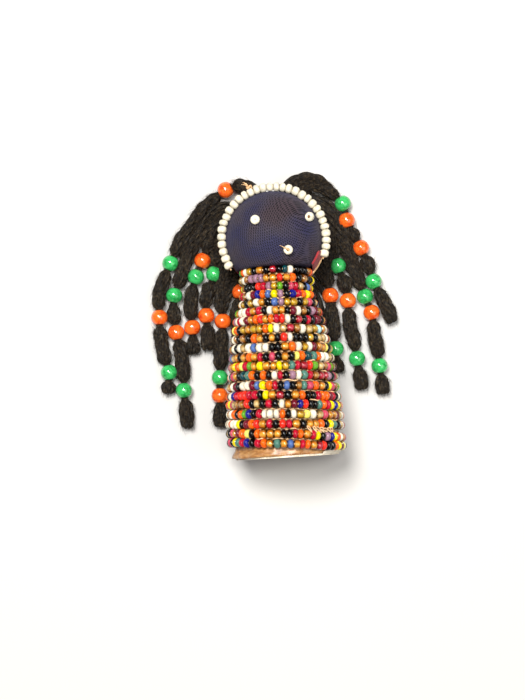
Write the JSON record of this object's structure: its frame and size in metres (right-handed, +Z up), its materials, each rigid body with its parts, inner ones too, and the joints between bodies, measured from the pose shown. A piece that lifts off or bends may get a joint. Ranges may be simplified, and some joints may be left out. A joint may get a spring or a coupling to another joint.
{
  "type": "beaded doll",
  "caption": "Small hand-made doll lying on its back: a cone body wound with rows of seed beads, a dark round head in a string of white beads, and black yarn tresses with round beads.",
  "frame": {"origin": "on the surface the doll lies on, under the middle of the doll without its tresses", "axes": "+Z up and out of the face, +Y from the foot to the crown of the head, +X to the viewer's right"},
  "size_m": [0.0888, 0.1003, 0.0416],
  "materials": {
    "seed_bead": "gloss, mixed opaque and clear colours",
    "white_bead": "gloss, opaque",
    "hair_bead": "gloss, slightly clear, orange and green",
    "yarn": "matt twisted yarn",
    "navy_cloth": "ribbed, slight sheen",
    "red_cloth": "matt",
    "cream_cloth": "matt",
    "card": "creased, satin",
    "thread": "matt",
    "brown_thread": "matt",
    "stuffing": "matt"
  },
  "bodies": {
    "doll": {"core_stuffing": "stuffing", "card_sleeve": "card", "foot_cloth": "cream_cloth", "row_threads": "thread", "bead_row_01": "seed_bead", "bead_row_02": "seed_bead", "bead_row_03": "seed_bead", "bead_row_04": "seed_bead", "bead_row_05": "seed_bead", "bead_row_06": "seed_bead", "bead_row_07": "seed_bead", "bead_row_08": "seed_bead", "bead_row_09": "seed_bead", "bead_row_10": "seed_bead", "bead_row_11": "seed_bead", "bead_row_12": "seed_bead", "bead_row_13": "seed_bead", "bead_row_14": "seed_bead", "bead_row_15": "seed_bead", "bead_row_16": "seed_bead", "bead_row_17": "seed_bead", "bead_row_18": "seed_bead", "bead_row_19": "seed_bead", "bead_row_20": "seed_bead", "head_stuffing": "stuffing", "head_cover": "navy_cloth", "head_back_cloth": "red_cloth", "face_bead_string": "white_bead", "face_string_thread": "thread", "string_knot": "thread", "eye_bead_left": "white_bead", "eye_bead_right": "white_bead", "mouth_bead": "white_bead", "face_stitches": "brown_thread", "mouth_thread_end": "thread", "hair_pad": "yarn"},
    "hair_left_1": {"tress_left_1": "yarn", "hair_beads_left_1": "hair_bead"},
    "hair_left_2": {"tress_left_2": "yarn", "hair_beads_left_2": "hair_bead"},
    "hair_left_3": {"tress_left_3": "yarn", "hair_beads_left_3": "hair_bead"},
    "hair_left_4": {"tress_left_4": "yarn", "hair_beads_left_4": "hair_bead"},
    "hair_left_5": {"tress_left_5": "yarn", "hair_beads_left_5": "hair_bead"},
    "hair_left_6": {"tress_left_6": "yarn", "hair_beads_left_6": "hair_bead"},
    "hair_right_1": {"tress_right_1": "yarn", "hair_beads_right_1": "hair_bead"},
    "hair_right_2": {"tress_right_2": "yarn", "hair_beads_right_2": "hair_bead"},
    "hair_right_3": {"tress_right_3": "yarn", "hair_beads_right_3": "hair_bead"},
    "hair_right_4": {"tress_right_4": "yarn", "hair_beads_right_4": "hair_bead"}
  },
  "joints": [
    {"name": "lift_left_1", "type": "hinge", "parent": "doll", "child": "hair_left_1", "pos_m": [-0.0055, 0.04236, 0.005], "axis": [-0.8792, 0.4765, 0], "range_deg": [0, 45]},
    {"name": "lift_left_2", "type": "hinge", "parent": "doll", "child": "hair_left_2", "pos_m": [-0.011, 0.03866, 0.0045], "axis": [-0.9533, 0.302, 0], "range_deg": [0, 40]},
    {"name": "lift_left_3", "type": "hinge", "parent": "doll", "child": "hair_left_3", "pos_m": [-0.014, 0.03426, 0.0045], "axis": [-0.9311, 0.3648, 0], "range_deg": [0, 40]},
    {"name": "lift_left_4", "type": "hinge", "parent": "doll", "child": "hair_left_4", "pos_m": [-0.0155, 0.02836, 0.0045], "axis": [-0.9602, 0.2792, 0], "range_deg": [0, 40]},
    {"name": "lift_left_5", "type": "hinge", "parent": "doll", "child": "hair_left_5", "pos_m": [-0.0152, 0.02386, 0.0045], "axis": [-0.9912, 0.1322, 0], "range_deg": [0, 40]},
    {"name": "lift_left_6", "type": "hinge", "parent": "doll", "child": "hair_left_6", "pos_m": [-0.0129, 0.01886, 0.0045], "axis": [-0.9963, 0.0865, 0], "range_deg": [0, 4]},
    {"name": "lift_right_1", "type": "hinge", "parent": "doll", "child": "hair_right_1", "pos_m": [0.0055, 0.04236, 0.005], "axis": [-0.7824, -0.6228, 0], "range_deg": [0, 45]},
    {"name": "lift_right_2", "type": "hinge", "parent": "doll", "child": "hair_right_2", "pos_m": [0.011, 0.03866, 0.0045], "axis": [-0.9366, -0.3505, 0], "range_deg": [0, 40]},
    {"name": "lift_right_3", "type": "hinge", "parent": "doll", "child": "hair_right_3", "pos_m": [0.0146, 0.03326, 0.0045], "axis": [-0.9741, -0.2263, 0], "range_deg": [0, 40]},
    {"name": "lift_right_4", "type": "hinge", "parent": "doll", "child": "hair_right_4", "pos_m": [0.0153, 0.02506, 0.0045], "axis": [-0.994, -0.109, 0], "range_deg": [0, 15]}
  ]
}
